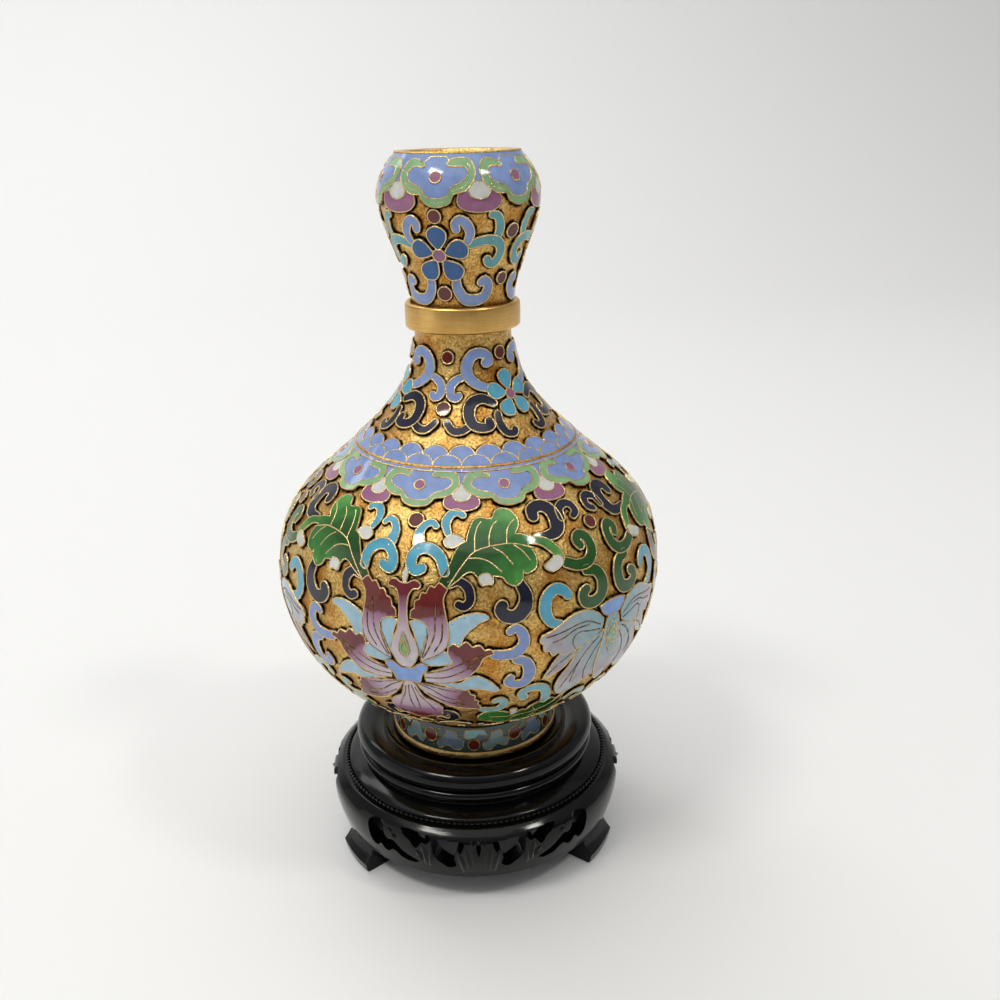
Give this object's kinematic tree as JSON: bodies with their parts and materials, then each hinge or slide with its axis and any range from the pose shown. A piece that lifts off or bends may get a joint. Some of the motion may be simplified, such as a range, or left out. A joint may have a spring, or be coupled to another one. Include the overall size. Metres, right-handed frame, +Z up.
{
  "type": "cloisonne vase on a carved stand",
  "caption": "Small bottle-shaped cloisonne vase with a garlic-head mouth, raised enamel bands and lotus blossoms, standing in a round pierced black stand.",
  "frame": {"origin": "on the table, under the middle of the stand", "axes": "+Z up along the axis of the vase, -Y to the front, where the two blossoms of the picture face"},
  "size_m": [0.0654, 0.0652, 0.1217],
  "materials": {
    "gilt_and_enamel": "gilt, stippled, with glossy enamel",
    "brushed_brass": "brushed satin",
    "black_lacquered_wood": "glossy lacquer"
  },
  "bodies": {
    "root": {"vase": "gilt_and_enamel", "neck_ring": "brushed_brass", "stand": "black_lacquered_wood"}
  },
  "joints": []
}
